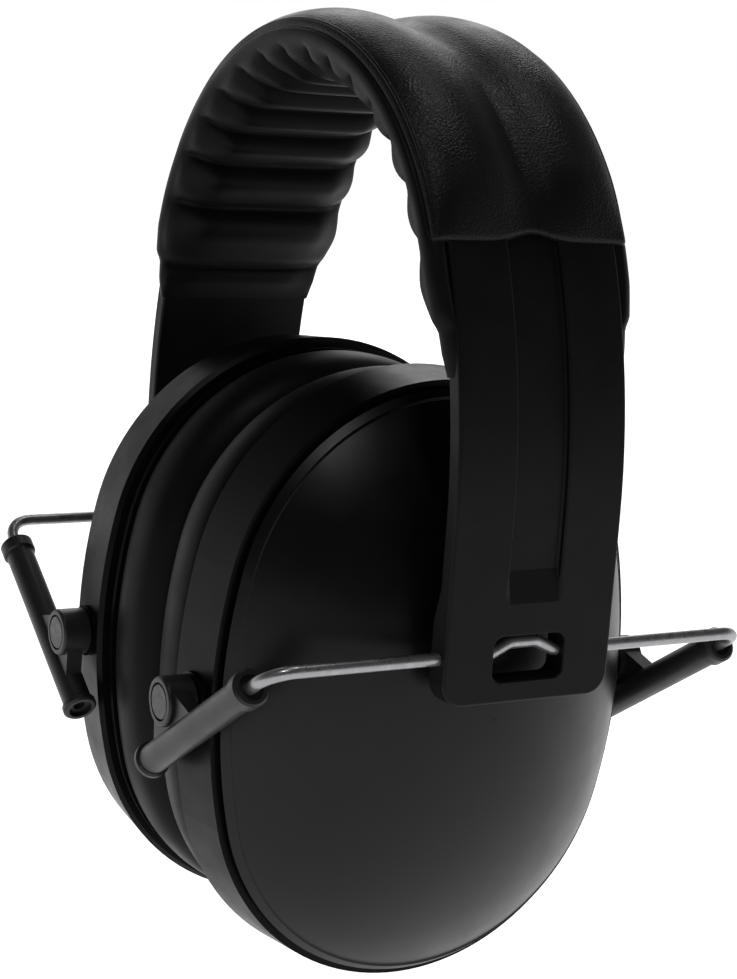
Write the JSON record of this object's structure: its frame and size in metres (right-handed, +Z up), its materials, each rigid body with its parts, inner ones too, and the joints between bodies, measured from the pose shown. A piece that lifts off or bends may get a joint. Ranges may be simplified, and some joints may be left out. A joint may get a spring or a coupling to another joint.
{
  "type": "earmuff hearing protector",
  "caption": "Passive over-head hearing protector: padded headband, folding wire yokes, sliding sleeves and low-profile oval cups with leatherette cushions.",
  "frame": {"origin": "middle of the wearer's head: on the line through the centres of both cups, halfway between them", "axes": "+X to the right cup, -Y to the front of the headband, +Z up to the crown of the headband"},
  "size_m": [0.1088, 0.0924, 0.1575],
  "materials": {
    "moulded_band": "fine satin moulded black, lightly textured",
    "moulded_rim": "satin moulded black",
    "moulded_sleeve": "satin moulded black",
    "soft_touch_shell": "soft-touch rubberised black with a fine grain",
    "leatherette": "black grained leatherette",
    "open_foam": "charcoal open-cell foam",
    "black_steel": "black coated spring-steel wire, semi-gloss",
    "rivet_steel": "dark grey plated steel",
    "rubber_seal": "matt black rubber"
  },
  "bodies": {
    "headband": {"band_frame": "moulded_band", "band_cover": "leatherette", "cover_padding_front": "open_foam", "cover_padding_rear": "open_foam", "head_pad_skin": "leatherette", "head_pad_foam": "open_foam"},
    "right_yoke": {"right_yoke_wire": "black_steel"},
    "right_sleeves": {"right_front_sleeve": "moulded_sleeve", "right_rear_sleeve": "moulded_sleeve"},
    "right_cup": {"right_front_rivet": "rivet_steel", "right_rear_rivet": "rivet_steel", "right_cup_rim": "moulded_rim", "right_seal_ring": "rubber_seal", "right_cup_shell": "soft_touch_shell", "right_liner_foam": "open_foam", "right_back_plate": "moulded_band", "right_cushion_plate": "moulded_rim", "right_cushion_skin": "leatherette", "right_cushion_foam": "open_foam"},
    "left_yoke": {"left_yoke_wire": "black_steel"},
    "left_sleeves": {"left_front_sleeve": "moulded_sleeve", "left_rear_sleeve": "moulded_sleeve"},
    "left_cup": {"left_front_rivet": "rivet_steel", "left_rear_rivet": "rivet_steel", "left_cup_rim": "moulded_rim", "left_seal_ring": "rubber_seal", "left_cup_shell": "soft_touch_shell", "left_liner_foam": "open_foam", "left_back_plate": "moulded_band", "left_cushion_plate": "moulded_rim", "left_cushion_skin": "leatherette", "left_cushion_foam": "open_foam"}
  },
  "joints": [
    {"name": "right_yoke_swing", "type": "hinge", "parent": "headband", "child": "right_yoke", "pos_m": [0.0522, 0, 0.0124], "axis": [0, -1, 0], "range_deg": [0, 44]},
    {"name": "right_height_slide", "type": "slide", "parent": "right_yoke", "child": "right_sleeves", "axis": [-0.8339, 0, -0.5519], "range_m": [0, 0.02]},
    {"name": "right_cup_level", "type": "hinge", "parent": "right_sleeves", "child": "right_cup", "pos_m": [0.02121, 0, -0.00056], "axis": [0, 1, 0], "range_deg": [0, 44]},
    {"name": "left_yoke_swing", "type": "hinge", "parent": "headband", "child": "left_yoke", "pos_m": [-0.0522, 0, 0.0124], "axis": [0, 1, 0], "range_deg": [0, 44]},
    {"name": "left_height_slide", "type": "slide", "parent": "left_yoke", "child": "left_sleeves", "axis": [0.8339, 0, -0.5519], "range_m": [0, 0.02]},
    {"name": "left_cup_level", "type": "hinge", "parent": "left_sleeves", "child": "left_cup", "pos_m": [-0.02121, 0, -0.00056], "axis": [0, -1, 0], "range_deg": [0, 44]}
  ],
  "couplings": [
    {"joint": "right_height_slide", "follows": "right_yoke_swing", "m_per_rad": 0.026},
    {"joint": "right_cup_level", "follows": "right_yoke_swing", "ratio": 1},
    {"joint": "left_height_slide", "follows": "left_yoke_swing", "m_per_rad": 0.026},
    {"joint": "left_cup_level", "follows": "left_yoke_swing", "ratio": 1}
  ]
}
